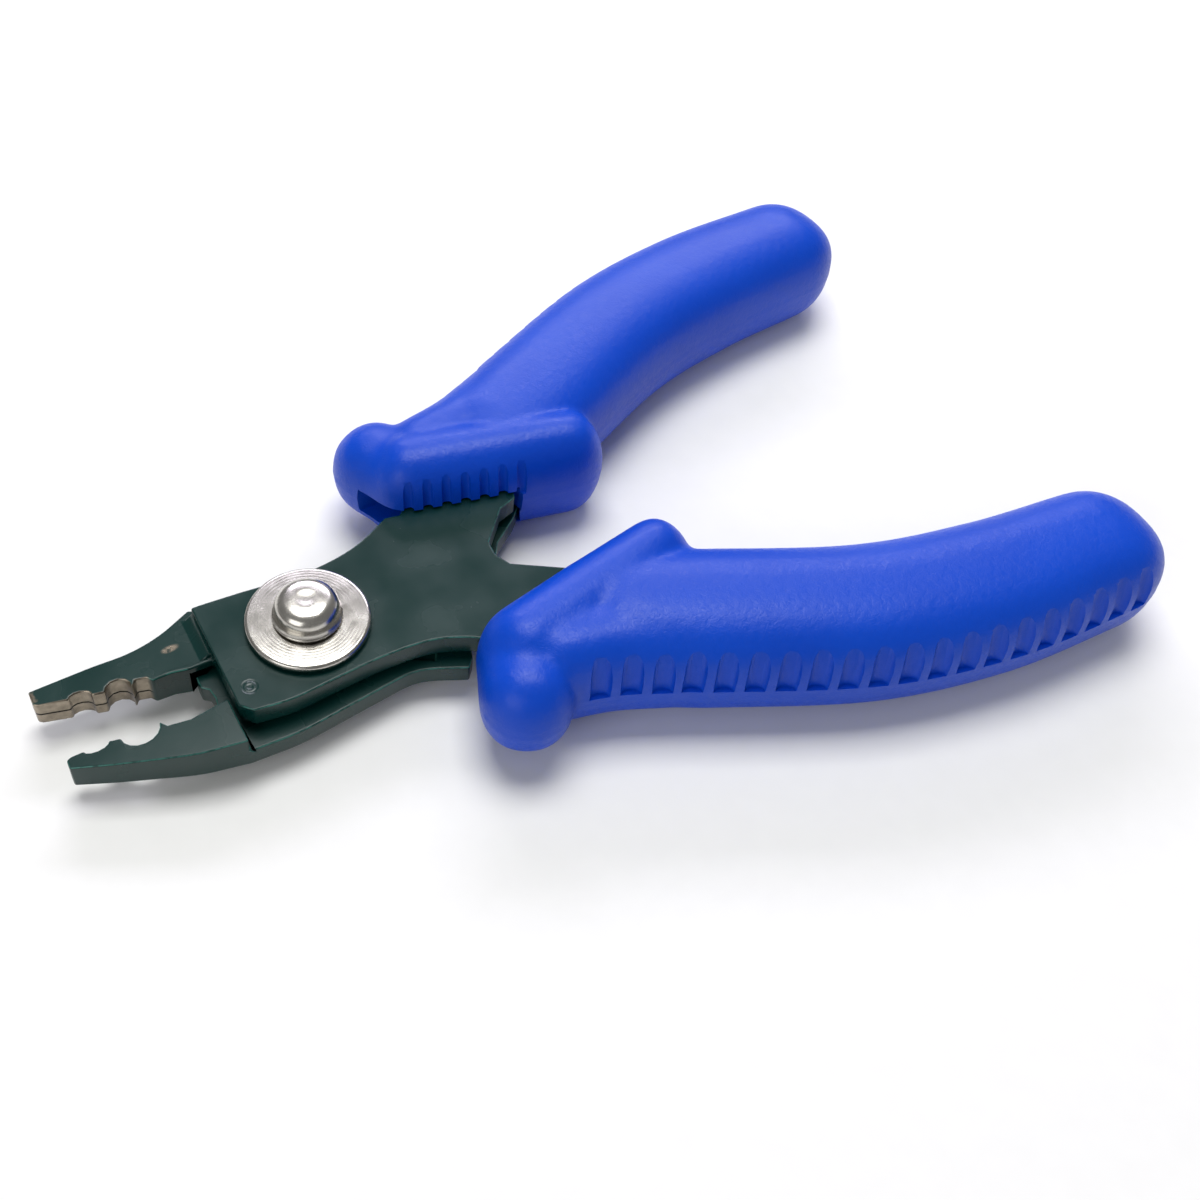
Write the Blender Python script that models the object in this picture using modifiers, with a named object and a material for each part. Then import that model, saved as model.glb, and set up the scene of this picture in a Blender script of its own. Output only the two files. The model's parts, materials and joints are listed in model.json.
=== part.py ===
"""Crimping pliers for jewellery: two flat steel halves on a rivet, with moulded grips.

The origin is on the plane that the grips rest on, under the middle of the tool. +X runs from
the jaws to the handles, +Y to the far handle and +Z up. The pliers lie open, as their spring
holds them. Lengths are in millimetres about the rivet's axis and become metres in the meshes.
"""
import math

import bmesh
import bpy
from mathutils import Vector

MM = 0.001
PIVOT_X = -28.75           # the rivet's axis, from the middle of the tool
GAP = 0.3                  # clearance between pieces that touch
CLOSING = 14.3             # degrees that the upper half turns from open to closed

# heights above the resting plane
STEEL_BOTTOM = 2.3
LOWER_TOP = 4.6
UPPER_BOTTOM = 5.4
UPPER_TOP = 7.9
JAW_TOP = 6.4              # top of a jaw at its root
JAW_TOP_SLOPE = 1.0 / 16   # and its fall towards the tip

# rivet, washers and spring
SHANK_R = 2.5
HOLE_R = SHANK_R + GAP
HEAD_FOOT_R = 3.6
HEAD_TOP_R = 3.25
HEAD_BOTTOM = 9.3
HEAD_TOP = 12.1
WASHER_R = 6.5
WASHER_HEIGHTS = (8.2, 9.0)
WASHER_BEVEL = 0.3
SPACER_R = 4.1
SPACER_HEIGHTS = (LOWER_TOP + GAP, UPPER_BOTTOM - GAP)
TAIL_WASHER_R = 5.2
TAIL_WASHER_HEIGHTS = (1.2, 2.0)
TAIL_R = 3.5
TAIL_HEIGHTS = (0.15, 0.9)
WIRE_R = 0.45
SPRING_R = 5.3
SPRING_LEG_R = 12.5
SPRING_LEG_ANGLE = 16.0
RECESS_DEPTH = 0.35
BOSS_R = 12.2              # round rim of the lower half, which the far jaw's root swings about

# jaws: with the tool closed their edges meet along this line
MEETING_Y = -2.95
JAW_GAP = 0.1              # from the line to each edge
NEAR_TIP = 27.0
FAR_TIP = 28.3

# grips, given for the far one; the near one is its mirror image
GRIP_MID = 6.8
GRIP_HALF_HEIGHT = 6.95
GRIP_LINE = [(29.5, 14.5), (36.1, 17.5), (51.5, 24.3), (65.0, 27.3), (78.5, 28.3)]
GRIP_HALF_WIDTHS = [7.2, 8.0, 7.9, 7.7, 7.1]
GUARD_LINE = [(17.8, 13.2), (26.5, 11.2), (35.9, 8.8)]
GUARD_HALF_WIDTHS = [4.7, 4.6, 3.9]
LOBE_LINE = [(15.7, 18.0), (17.6, 13.8)]
LOBE_HALF_WIDTHS = [4.7, 4.7]
GRIP_ROUNDNESS = 2.6
GUARD_ROUNDNESS = 2.3
SPAN_PIECES = 3            # sections between two points of a grip's line


def turned(point, degrees):
    """Plan point turned about the rivet."""
    turn = math.radians(degrees)
    x, y = point
    return (x * math.cos(turn) - y * math.sin(turn), x * math.sin(turn) + y * math.cos(turn))


def arc(radius, start, end, steps):
    """Plan points along an arc about the rivet, angles in degrees."""
    return [turned((radius, 0.0), start + (end - start) * i / steps) for i in range(steps + 1)]


def notch(centre, line, half_width, depth, steps=6):
    """Scallop in a straight edge at y = line; depth is positive towards +Y."""
    points = []
    for i in range(steps + 1):
        angle = math.pi * i / steps
        points.append((centre - half_width * math.cos(angle), line + depth * math.sin(angle)))
    return points


def grown(outline, distance):
    """A closed outline moved outwards by a distance, each corner along its bisector."""
    area = sum(a[0] * b[1] - b[0] * a[1] for a, b in zip(outline, outline[1:] + outline[:1]))
    side = 1.0 if area > 0 else -1.0
    points = []
    for i, corner in enumerate(outline):
        here = Vector(corner)
        arrive = (here - Vector(outline[i - 1])).normalized()
        leave = (Vector(outline[(i + 1) % len(outline)]) - here).normalized()
        bisector = arrive + leave
        out = Vector((bisector.y, -bisector.x)).normalized() * side
        lean = max(0.5, out.dot(Vector((arrive.y, -arrive.x)) * side))
        moved = here + out * (distance / lean)
        points.append((moved.x, moved.y))
    return points


def spline_point(points, i, t):
    """Point at a fraction t of span i on the smooth curve through plan points."""
    before = points[i - 1] if i > 0 else points[i] * 2 - points[i + 1]
    beyond = points[i + 2] if i + 2 < len(points) else points[i + 1] * 2 - points[i]
    start = (points[i + 1] - before) / 2
    end = (beyond - points[i]) / 2
    return ((2 * t ** 3 - 3 * t ** 2 + 1) * points[i] + (t ** 3 - 2 * t ** 2 + t) * start
            + (3 * t ** 2 - 2 * t ** 3) * points[i + 1] + (t ** 3 - t ** 2) * end)


def flowing(points, pieces=5):
    """A smooth curve through plan points."""
    knots = [Vector(point) for point in points]
    curve = []
    for i in range(len(knots) - 1):
        for k in range(pieces):
            place = spline_point(knots, i, k / pieces)
            curve.append((place.x, place.y))
    return curve + [points[-1]]


def jaw_top(x):
    """Height of the jaws' sloping top at a distance x along the tool."""
    return JAW_TOP + JAW_TOP_SLOPE * (x + 12.0)


def near_jaw_edge():
    """Working edge of the near jaw, from tip to throat."""
    line = MEETING_Y - JAW_GAP
    edge = [(-NEAR_TIP, line - 0.2), (-NEAR_TIP + 0.5, line)]
    edge += notch(-23.9, line, 1.3, -0.6)
    edge += [(-22.3, line - 0.15)]
    edge += notch(-19.5, line - 0.3, 2.0, -1.65, 8)
    return edge + [(-16.9, line - 1.1), (-14.6, line - 1.5), (-12.8, line - 1.3)]


def far_jaw_edge():
    """Working edge of the far jaw in the open tool, from tip to throat."""
    line = MEETING_Y + JAW_GAP
    edge = [(-FAR_TIP, line + 0.2), (-FAR_TIP + 0.5, line)]
    edge += notch(-23.6, line, 1.2, 0.65)
    edge += [(-22.0, line)]
    edge += notch(-19.8, line, 1.4, 1.2)
    edge += [(-18.1, line + 0.75), (-16.9, line + 0.75), (-16.3, line + 0.25), (-14.4, line + 0.7)]
    return [turned(point, -CLOSING) for point in edge]


# long edges of the halves; the far edge of the upper half starts with its ear
UPPER_NEAR_EDGE = [(-8.9, -7.5), (-4.9, -7.9), (0.3, -7.5), (5.5, -7.2), (10.2, -7.5),
                   (13.6, -8.7), (17.0, -10.8)]
EAR = [(27.4, 5.9), (27.9, 7.2), (20.3, 9.1), (15.6, 9.9), (14.9, 9.2)]
UPPER_FAR_EDGE = [(13.2, 9.5), (8.3, 7.2), (2.4, 6.3), (-4.3, 6.8), (-9.0, 7.1)]
LOWER_NEAR_EDGE = [(-10.6, -9.6), (-5.5, -9.7), (-0.5, -9.2), (4.5, -8.5), (8.7, -8.3),
                   (13.4, -10.2)]
LOWER_REST = [(14.3, -9.2), (15.2, -6.6), (20.6, -2.5)]
LOWER_FAR_EDGE = [(17.0, 10.8), (13.2, 9.1), (8.3, 6.8), (2.4, 5.9), (-4.3, 6.4), (-9.3, 6.8)]
TANG_OUTER = [(34.9, 20.3), (50.6, 27.2)]
TANG_INNER = [(52.9, 21.4), (37.4, 14.6), (31.5, 10.6), (28.8, 7.2)]
CROTCH = (21.6, -0.3)


def mirror_y(points):
    """An outline on the other side of the tool's middle line."""
    return [(x, -y) for x, y in points]


def upper_outline():
    """Flat half with both arms: the near one ends as a tang, the far one as a short ear."""
    near_inner = [(28.2, -5.7), (22.4, -2.1)]
    far_inner = [(21.8, 1.5), (25.2, 5.2)]
    outline = [(-10.1, -6.3)] + flowing(UPPER_NEAR_EDGE) + mirror_y(TANG_OUTER)
    outline += mirror_y(TANG_INNER) + near_inner + [CROTCH] + far_inner + EAR
    return outline + flowing(UPPER_FAR_EDGE) + [(-10.1, 7.1)]


def lower_outline():
    """Flat half with the far tang and the round rim about the rivet."""
    far_inner = [(24.1, 3.4), (27.3, 5.7)]
    outline = flowing(LOWER_NEAR_EDGE) + LOWER_REST + [CROTCH] + far_inner
    outline += TANG_INNER[::-1] + TANG_OUTER[::-1] + flowing(LOWER_FAR_EDGE)
    rim = arc(BOSS_R, 147.0, 182.0, 8)
    throat = [(-11.5, -1.0), (-11.3, -2.2), (-11.5, -3.3), (-12.8, MEETING_Y - 1.4)]
    return outline + rim + throat + [(-12.2, -8.2)]


def near_jaw_outline():
    """Raised jaw of the lower half; its end is the stop that the upper half opens against."""
    outer = [(-10.5, -9.6), (-15.2, -8.7), (-19.3, -7.3), (-23.1, -5.9), (-NEAR_TIP, -4.3)]
    return near_jaw_edge() + [(-10.5, -4.1)] + flowing(outer)


def far_jaw_outline():
    """Jaw of the upper half, from its tip to well under the plate."""
    outer = [(-10.3, 8.0), (-14.0, 6.5), (-17.6, 5.9), (-21.8, 6.1), (-28.1, 6.2)]
    return far_jaw_edge() + [(-12.6, 1.0), (-8.8, 0.9), (-8.8, 7.1)] + flowing(outer)


def spring_room(side, opposite):
    """Recess for the spring: a disc, and a fan that its legs swing in.

    side is the angle of the wall that one leg bears on, opposite the fan's free end.
    """
    start = side
    end = opposite
    if start > end:
        start, end = end, start
    disc = arc(SPRING_R + WIRE_R + GAP, end + 6, start + 354, 24)
    return disc + arc(SPRING_LEG_R + WIRE_R + GAP, start, end, 8)


def filled_outline(name, outline, bottom, top):
    """Closed prism from a filled flat curve."""
    curve = bpy.data.curves.new(name, "CURVE")
    curve.dimensions = "2D"
    curve.fill_mode = "BOTH"
    curve.extrude = (top - bottom) / 2 * MM
    spline = curve.splines.new("POLY")
    spline.points.add(len(outline) - 1)
    for point, (x, y) in zip(spline.points, outline):
        point.co = (x * MM, y * MM, 0.0, 1.0)
    spline.use_cyclic_u = True
    shape = bpy.data.objects.new(name, curve)
    bpy.context.scene.collection.objects.link(shape)
    shape.location.z = (top + bottom) / 2 * MM
    return curve_to_mesh(shape)


def curve_to_mesh(shape):
    """Mesh of a curve object in world space, with its caps joined; the curve is removed."""
    bpy.context.view_layer.update()
    evaluated = shape.evaluated_get(bpy.context.evaluated_depsgraph_get())
    mesh = bpy.data.meshes.new_from_object(evaluated)
    mesh.transform(shape.matrix_world)
    curve = shape.data
    bpy.data.objects.remove(shape)
    bpy.data.curves.remove(curve)
    bm = bmesh.new()
    bm.from_mesh(mesh)
    bmesh.ops.remove_doubles(bm, verts=bm.verts, dist=0.000001)
    bmesh.ops.recalc_face_normals(bm, faces=bm.faces)
    bm.to_mesh(mesh)
    bm.free()
    return mesh


def sloped_jaw(name, outline):
    """Jaw prism whose top falls towards the tip."""
    mesh = filled_outline(name, outline, STEEL_BOTTOM, JAW_TOP)
    for vertex in mesh.vertices:
        if vertex.co.z > (STEEL_BOTTOM + 1.0) * MM:
            vertex.co.z = jaw_top(vertex.co.x / MM) * MM
    return mesh


def disc_mesh(radius, bottom, top, sides=64):
    """Closed cylinder about the rivet's axis."""
    mesh = bpy.data.meshes.new("disc")
    bm = bmesh.new()
    bmesh.ops.create_cone(bm, cap_ends=True, segments=sides, radius1=radius * MM,
                          radius2=radius * MM, depth=(top - bottom) * MM)
    bmesh.ops.translate(bm, verts=bm.verts, vec=(0.0, 0.0, (top + bottom) / 2 * MM))
    bm.to_mesh(mesh)
    bm.free()
    return mesh


def lofted_pill(line, half_widths, half_height, exponent, lift, sides=20, stations=5):
    """Round-ended body along a plan line, with superellipse sections.

    Each section is upright and square to the line; the ends close in a quarter ellipse. The
    underside is trimmed flat at the resting plane.
    """
    points = [Vector((x, y, 0.0)) for x, y in line]
    first = (points[1] - points[0]).normalized()
    last = (points[-1] - points[-2]).normalized()
    sections = []
    for i in range(1, stations + 1):
        angle = math.pi / 2 * i / stations
        reach = half_widths[0] * math.cos(angle)
        sections.append((points[0] - first * reach, first, math.sin(angle), half_widths[0]))
    for i in range(len(points) - 1):
        for k in range(1, SPAN_PIECES + 1):
            t = k / SPAN_PIECES
            heading = (spline_point(points, i, t) - spline_point(points, i, t - 0.05)).normalized()
            width = half_widths[i] + (half_widths[i + 1] - half_widths[i]) * t
            sections.append((spline_point(points, i, t), heading, 1.0, width))
    for i in range(stations - 1, 0, -1):
        angle = math.pi / 2 * i / stations
        reach = half_widths[-1] * math.cos(angle)
        sections.append((points[-1] + last * reach, last, math.sin(angle), half_widths[-1]))
    mesh = bpy.data.meshes.new("pill")
    bm = bmesh.new()
    rings = []
    for place, heading, scale, width in sections:
        across = Vector((-heading.y, heading.x, 0.0))
        ring = []
        for k in range(sides):
            angle = 2 * math.pi * (k + 0.5) / sides
            c = math.copysign(abs(math.cos(angle)) ** (2 / exponent), math.cos(angle))
            s = math.copysign(abs(math.sin(angle)) ** (2 / exponent), math.sin(angle))
            where = place + across * (width * scale * c)
            height = max(0.0, lift + half_height * scale * s)
            ring.append(bm.verts.new((where.x * MM, where.y * MM, height * MM)))
        rings.append(ring)
    for a, b in zip(rings, rings[1:]):
        for k in range(sides):
            bm.faces.new((a[k], a[(k + 1) % sides], b[(k + 1) % sides], b[k]))
    start_tip = points[0] - first * half_widths[0]
    end_tip = points[-1] + last * half_widths[-1]
    for ring, tip in ((rings[0], start_tip), (rings[-1], end_tip)):
        pole = bm.verts.new((tip.x * MM, tip.y * MM, lift * MM))
        for k in range(sides):
            bm.faces.new((ring[k], ring[(k + 1) % sides], pole))
    bmesh.ops.recalc_face_normals(bm, faces=bm.faces)
    bm.to_mesh(mesh)
    bm.free()
    return mesh


def mirrored_mesh(mesh):
    """The same mesh on the other side of the tool's middle line."""
    bm = bmesh.new()
    bm.from_mesh(mesh)
    bmesh.ops.scale(bm, vec=(1.0, -1.0, 1.0), verts=bm.verts)
    bmesh.ops.reverse_faces(bm, faces=bm.faces)
    bm.to_mesh(mesh)
    bm.free()
    return mesh


def material(name, colour, metallic, roughness):
    """Plain Principled material."""
    mat = bpy.data.materials.new(name)
    mat.use_nodes = True
    shader = mat.node_tree.nodes["Principled BSDF"]
    shader.inputs["Base Color"].default_value = (*colour, 1.0)
    shader.inputs["Metallic"].default_value = metallic
    shader.inputs["Roughness"].default_value = roughness
    return mat


def add_part(name, mesh, mat, body):
    """Named part carried by a body's empty, which stands on the joint's axis."""
    part = bpy.data.objects.new(name, mesh)
    mesh.materials.clear()
    mesh.materials.append(mat)
    mesh.shade_smooth()
    mesh.set_sharp_from_angle(angle=math.radians(32))
    parts.objects.link(part)
    part.parent = body
    return part


def combine(part, mesh, operation, body):
    """Boolean of a part with a shape that is kept in the cutters collection."""
    tool = bpy.data.objects.new(part.name + "_" + operation.lower(), mesh)
    tool.hide_render = True
    tool.display_type = "WIRE"
    cutters.objects.link(tool)
    tool.parent = body
    boolean = part.modifiers.new(tool.name, "BOOLEAN")
    boolean.operation = operation
    boolean.solver = "EXACT"
    boolean.object = tool


def add_turned(name, profile, mat, body, steps=48):
    """Turned part: a profile of (radius, height) that runs down its outer side."""
    mesh = bpy.data.meshes.new(name)
    bm = bmesh.new()
    corners = [bm.verts.new((r * MM, 0.0, z * MM)) for r, z in profile]
    for upper, lower in zip(corners, corners[1:]):
        bm.edges.new((upper, lower))
    if profile[0][0] > 0:
        bm.edges.new((corners[-1], corners[0]))
    bm.to_mesh(mesh)
    bm.free()
    part = add_part(name, mesh, mat, body)
    screw = part.modifiers.new("Screw", "SCREW")
    screw.steps = steps
    screw.render_steps = steps
    screw.use_merge_vertices = True
    screw.merge_threshold = 0.00001
    screw.use_smooth_shade = True
    return part


def ring_profile(inner, outer, heights, bevel):
    """Section of a flat washer with bevelled outer edges."""
    low, high = heights
    return [(inner, high), (outer - bevel, high), (outer, high - bevel), (outer, low + bevel),
            (outer - bevel, low), (inner, low)]


def make_lower_half(mat, body):
    """Near jaw, round rim and far tang in one flat piece."""
    half = add_part("lower_half", filled_outline("plate", lower_outline(), STEEL_BOTTOM,
                                                 LOWER_TOP), mat, body)
    combine(half, sloped_jaw("jaw", near_jaw_outline()), "UNION", body)
    combine(half, disc_mesh(HOLE_R, 0.0, JAW_TOP), "DIFFERENCE", body)
    room = spring_room(-SPRING_LEG_ANGLE - CLOSING - 6, SPRING_LEG_ANGLE + 4)
    combine(half, filled_outline("room", room, LOWER_TOP - RECESS_DEPTH, JAW_TOP),
            "DIFFERENCE", body)
    return half


def make_upper_half(mat, body):
    """Far jaw, plate and near tang in one flat piece."""
    jaw = sloped_jaw("jaw", far_jaw_outline())
    half = add_part("upper_half", jaw, mat, body)
    combine(half, disc_mesh(BOSS_R + 0.4, 0.0, UPPER_BOTTOM, 96), "DIFFERENCE", body)
    combine(half, filled_outline("plate", upper_outline(), UPPER_BOTTOM, UPPER_TOP), "UNION",
            body)
    combine(half, root_fillet(), "UNION", body)
    combine(half, disc_mesh(HOLE_R, 0.0, HEAD_TOP), "DIFFERENCE", body)
    room = spring_room(-SPRING_LEG_ANGLE - 4, SPRING_LEG_ANGLE + CLOSING + 6)
    combine(half, filled_outline("room", room, 0.0, UPPER_BOTTOM + RECESS_DEPTH), "DIFFERENCE",
            body)
    return half


def root_fillet():
    """Hollow ramp from the far jaw's top up to the plate's top, level across the tool."""
    run = 2.2
    foot = jaw_top(-10.0 - run) - 0.05
    rise = UPPER_TOP - 0.3 - foot
    section = [(-9.6, JAW_TOP - 0.5)]
    for i in range(6):
        t = i / 5
        section.append((-10.0 - run * (1 - t), foot + rise * t ** 2.5))
    section.append((-9.6, UPPER_TOP - 0.3))
    mesh = filled_outline("fillet", section, 1.3, 6.9)
    for vertex in mesh.vertices:
        x, z, y = vertex.co
        vertex.co = (x, y, z)
    bm = bmesh.new()
    bm.from_mesh(mesh)
    bmesh.ops.recalc_face_normals(bm, faces=bm.faces)
    bm.to_mesh(mesh)
    bm.free()
    return mesh


def make_grip(name, mat, body, tang, tang_heights, near):
    """Moulded grip: handle and guard in one, hollow where the steel goes in."""
    handle = lofted_pill(GRIP_LINE, GRIP_HALF_WIDTHS, GRIP_HALF_HEIGHT, GRIP_ROUNDNESS, GRIP_MID)
    guard = lofted_pill(GUARD_LINE, GUARD_HALF_WIDTHS, GRIP_HALF_HEIGHT, GUARD_ROUNDNESS,
                        GRIP_MID)
    lobe = lofted_pill(LOBE_LINE, LOBE_HALF_WIDTHS, GRIP_HALF_HEIGHT - 0.2, GUARD_ROUNDNESS,
                       GRIP_MID)
    if near:
        handle = mirrored_mesh(handle)
        guard = mirrored_mesh(guard)
        lobe = mirrored_mesh(lobe)
    grip = add_part(name, handle, mat, body)
    combine(grip, guard, "UNION", body)
    combine(grip, lobe, "UNION", body)
    low, high = tang_heights
    cavity = filled_outline("cavity", grown(tang, GAP), low - GAP, high + GAP)
    combine(grip, cavity, "DIFFERENCE", body)
    return grip


def ear_pocket():
    """Room in the far guard for the upper half's ear, as far as the closed tool needs."""
    back = 14.3
    reach = 29.3
    side = arc(reach, math.degrees(math.asin(back / reach)), 8.0, 8)
    return filled_outline("pocket", [(9.0, 7.0), (9.0, back)] + side + [(25.0, 3.5)],
                          LOWER_TOP + 0.1, UPPER_TOP + GAP)


def make_spring(mat, body):
    """Flat loop of wire about the rivet, whose two legs lie against the two halves."""
    middle = (LOWER_TOP + UPPER_BOTTOM) / 2
    loop = arc(SPRING_R, SPRING_LEG_ANGLE + 14, 360 - SPRING_LEG_ANGLE - 14, 40)
    legs = [turned((SPRING_LEG_R, 0.0), angle) for angle in (SPRING_LEG_ANGLE, -SPRING_LEG_ANGLE)]
    path = [legs[0]] + loop + [legs[1]]
    curve = bpy.data.curves.new("wire", "CURVE")
    curve.dimensions = "3D"
    curve.bevel_depth = WIRE_R * MM
    curve.bevel_resolution = 2
    curve.use_fill_caps = True
    curve.render_resolution_u = 0
    spline = curve.splines.new("POLY")
    spline.points.add(len(path) - 1)
    for point, (x, y) in zip(spline.points, path):
        point.co = (x * MM, y * MM, middle * MM, 1.0)
    shape = bpy.data.objects.new("wire", curve)
    bpy.context.scene.collection.objects.link(shape)
    return add_part("return_spring", curve_to_mesh(shape), mat, body)


def make_rivet(mat, body):
    """Domed head, shank and spread tail."""
    low, high = TAIL_HEIGHTS
    profile = [(0.0, HEAD_TOP)]
    for i in range(1, 7):
        angle = math.pi / 2 * i / 6
        profile.append((HEAD_TOP_R * math.sin(angle), HEAD_TOP - 1.0 + math.cos(angle)))
    profile += [(HEAD_FOOT_R, HEAD_BOTTOM + 0.3), (HEAD_FOOT_R, HEAD_BOTTOM),
                (SHANK_R, HEAD_BOTTOM), (SHANK_R, high), (TAIL_R, high),
                (TAIL_R - 0.4, low + 0.1), (TAIL_R - 1.2, low), (0.0, low)]
    return add_turned("pivot_rivet", profile, mat, body)


def clear_scene():
    """Empty file to build in."""
    for old in list(bpy.data.objects):
        bpy.data.objects.remove(old)


def new_collection(name):
    """Collection under the scene's own."""
    collection = bpy.data.collections.new(name)
    bpy.context.scene.collection.children.link(collection)
    return collection


def new_body(name):
    """Empty on the rivet's axis, which carries the parts that move together."""
    body = bpy.data.objects.new(name, None)
    parts.objects.link(body)
    body.location.x = PIVOT_X * MM
    return body


clear_scene()
parts = new_collection("crimping_pliers")
cutters = new_collection("cutters")
lower_body = new_body("lower_body")
upper_body = new_body("upper_body")

green_paint = material("green_painted_steel", (0.006, 0.040, 0.038), 0.2, 0.35)
nickel_steel = material("nickel_plated_steel", (0.78, 0.77, 0.74), 1.0, 0.25)
spring_steel = material("spring_steel", (0.45, 0.45, 0.46), 1.0, 0.35)
blue_plastic = material("blue_plastic", (0.002, 0.060, 0.580), 0.0, 0.4)

make_lower_half(green_paint, lower_body)
make_upper_half(green_paint, upper_body)
make_rivet(nickel_steel, lower_body)
add_turned("top_washer", ring_profile(HOLE_R, WASHER_R, WASHER_HEIGHTS, WASHER_BEVEL),
           nickel_steel, lower_body, 64)
add_turned("spacer_washer", ring_profile(HOLE_R, SPACER_R, SPACER_HEIGHTS, 0.05),
           nickel_steel, lower_body)
add_turned("bottom_washer", ring_profile(HOLE_R, TAIL_WASHER_R, TAIL_WASHER_HEIGHTS, 0.2),
           nickel_steel, lower_body)
make_spring(spring_steel, lower_body)
make_grip("near_grip", blue_plastic, upper_body, upper_outline(), (UPPER_BOTTOM, UPPER_TOP), True)
far_grip = make_grip("far_grip", blue_plastic, lower_body, lower_outline(),
                     (STEEL_BOTTOM, LOWER_TOP), False)
combine(far_grip, ear_pocket(), "DIFFERENCE", lower_body)
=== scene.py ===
import bpy
import bmesh
import json
import math
from mathutils import Vector, Matrix
from mathutils.bvhtree import BVHTree


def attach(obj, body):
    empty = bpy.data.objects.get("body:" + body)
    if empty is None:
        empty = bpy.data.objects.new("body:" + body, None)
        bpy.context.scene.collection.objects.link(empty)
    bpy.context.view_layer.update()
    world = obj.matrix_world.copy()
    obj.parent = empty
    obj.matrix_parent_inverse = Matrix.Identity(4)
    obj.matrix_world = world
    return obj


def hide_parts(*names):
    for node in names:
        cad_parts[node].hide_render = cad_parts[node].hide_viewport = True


# Jeweller's crimping pliers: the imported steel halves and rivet, dressed as the real tool.
# Lengths in the dictionaries are millimetres, measured from the rivet's axis in plan
# and from the table in height, so the numbers read like a drawing of the tool.

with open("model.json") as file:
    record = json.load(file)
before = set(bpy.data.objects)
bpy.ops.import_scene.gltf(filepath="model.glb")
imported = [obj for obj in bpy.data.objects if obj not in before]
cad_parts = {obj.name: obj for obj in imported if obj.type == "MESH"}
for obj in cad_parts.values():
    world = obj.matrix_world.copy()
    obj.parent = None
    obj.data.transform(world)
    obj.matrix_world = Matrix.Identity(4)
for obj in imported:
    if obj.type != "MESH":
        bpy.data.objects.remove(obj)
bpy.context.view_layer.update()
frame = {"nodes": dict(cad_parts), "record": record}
mm = 0.001
pivot = Vector(frame["record"]["behaviour"]["joints"][0]["pos_m"])
pivot.z = 0.0
nodes = frame["nodes"]
print("frame loaded, pivot at", [round(c, 5) for c in pivot])


def toWorld(x, y, z):
    return pivot + Vector((x, y, z)) * mm


def hexColour(code):
    # sRGB hex to the linear values the shader wants
    channels = [int(code[i:i + 2], 16) / 255 for i in (1, 3, 5)]
    linear = [c / 12.92 if c <= 0.04045 else ((c + 0.055) / 1.055) ** 2.4 for c in channels]
    return (*linear, 1.0)


def addNode(tree, kind, settings):
    # each key is an attribute or an input; a socket given as its value is linked
    node = tree.nodes.new(kind)
    for key, value in settings.items():
        if isinstance(key, str) and key not in node.inputs:
            setattr(node, key, value)
        elif isinstance(value, bpy.types.NodeSocket):
            tree.links.new(value, node.inputs[key])
        else:
            node.inputs[key].default_value = value
    return node


def newMaterial(name):
    material = bpy.data.materials.new(name)
    material.use_nodes = True
    tree = material.node_tree
    tree.nodes.clear()
    output = tree.nodes.new("ShaderNodeOutputMaterial")
    shader = tree.nodes.new("ShaderNodeBsdfPrincipled")
    tree.links.new(shader.outputs["BSDF"], output.inputs["Surface"])
    return material, tree, shader


def meshObject(name, bm, material, smoothAngle=35):
    mesh = bpy.data.meshes.new(name)
    bm.to_mesh(mesh)
    bm.free()
    mesh.materials.append(material)
    mesh.shade_smooth()
    mesh.set_sharp_from_angle(angle=math.radians(smoothAngle))
    piece = bpy.data.objects.new(name, mesh)
    bpy.context.scene.collection.objects.link(piece)
    return piece


def applyModifiers(piece):
    # bakes the modifier stack into the piece's own mesh
    bpy.context.view_layer.update()
    graph = bpy.context.evaluated_depsgraph_get()
    finished = bpy.data.meshes.new_from_object(piece.evaluated_get(graph))
    old = piece.data
    piece.modifiers.clear()
    piece.data = finished
    bpy.data.meshes.remove(old)
    return piece


# Stoved enamel on stamped steel: dark green gloss, a little orange peel, thin on sharp edges, which
# carry a lighter colour that is partly wear and partly a painted edge highlight.
# The far jaw's working face is ground bare, and its top has one rubbed spot.
enamel = {
    # edge: lighter teal for the rounded edges, a painted edge highlight that is partly worn-thin
    # paint
    "body": "#04322E", "deep": "#032826", "edge": "#3F7A70",
    "cloudMm": 7.0, "speckMm": 0.8, "peelMm": 1.8, "dustMm": 0.4, "reliefMm": 0.03,
    "steelDark": "#5E554A", "steelPale": "#B3A796",
    "groundFacing": (-0.25, -0.97, 0.0), "groundEnd": (-16.5, -16.9), "tipEnd": (-26.9, -27.3),
    "rootFillet": (-12.7, -9.9), "seamHeight": 3.86, "seamDark": "#15120F",
    "spot": (-13.6, 4.3), "spotStretch": (0.75, 1.7, 0.0), "spotRadius": 0.62,
    "ring": (-8.3, -4.7), "ringRadius": 0.72, "ringDot": 0.3,
}
softStep = {"interpolation_type": "SMOOTHSTEP"}


def localPlace(tree):
    # millimetres from the rivet's axis in plan, and from the table
    place = addNode(tree, "ShaderNodeTexCoord", {}).outputs["Object"]
    moved = addNode(tree, "ShaderNodeVectorMath",
                    {"operation": "SUBTRACT", 0: place, 1: tuple(pivot)}).outputs["Vector"]
    return addNode(tree, "ShaderNodeVectorMath",
                   {"operation": "SCALE", 0: moved, "Scale": 1 / mm}).outputs["Vector"]


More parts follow.
